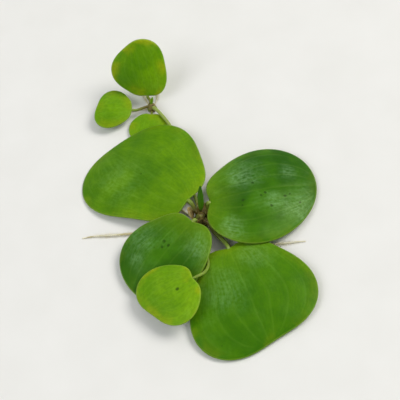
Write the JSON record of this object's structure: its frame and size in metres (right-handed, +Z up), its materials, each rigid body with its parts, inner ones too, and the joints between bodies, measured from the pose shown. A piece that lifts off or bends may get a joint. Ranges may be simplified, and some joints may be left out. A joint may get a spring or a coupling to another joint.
{
  "type": "floating water plant",
  "caption": "Amazon frogbit lifted from the water: a rosette of round spongy leaves on short stalks with roots, and a small daughter plantlet on a runner.",
  "frame": {"origin": "middle of the crown's flat base, on the surface that the plant lies on", "axes": "+Z up out of the crown, +Y from the crown towards the daughter plantlet's end, +X to the right when the plantlet is at the back"},
  "size_m": [0.0654, 0.0944, 0.0163],
  "materials": {
    "leaf": null,
    "leaf_dark": "older leaf skin, darker green with a greyish wet sheen",
    "leaf_young": "young leaf skin, light yellow green, satin",
    "stalk": "smooth translucent stalk, pale olive green, brownish near the crown",
    "crown_tissue": "rough brown green stem tissue",
    "stipule": "thin papery brown membrane",
    "root": "soft cream root with fine side hairs"
  },
  "bodies": {
    "root": {"crown": "crown_tissue", "daughter_crown": "crown_tissue", "leaf_left": "leaf", "leaf_lower_right": "leaf", "daughter_leaf_tall": "leaf", "daughter_leaf_side": "leaf", "daughter_leaf_front": "leaf", "leaf_right": "leaf_dark", "leaf_lower_left": "leaf_dark", "leaf_furled": "leaf_dark", "leaf_small": "leaf_young", "daughter_leaf_furled": "leaf_young", "stalk_left": "stalk", "stalk_right": "stalk", "stalk_lower_left": "stalk", "stalk_lower_right": "stalk", "stalk_small": "stalk", "daughter_stalk_tall": "stalk", "daughter_stalk_side": "stalk", "daughter_stalk_front": "stalk", "runner": "stalk", "stipule_back": "stipule", "stipule_left": "stipule", "root_1": "root", "root_2": "root", "root_3": "root", "root_4": "root", "root_5": "root", "root_6": "root", "root_7": "root", "root_8": "root", "root_9": "root", "root_10": "root", "daughter_root_1": "root", "daughter_root_2": "root", "daughter_root_3": "root"}
  },
  "joints": []
}
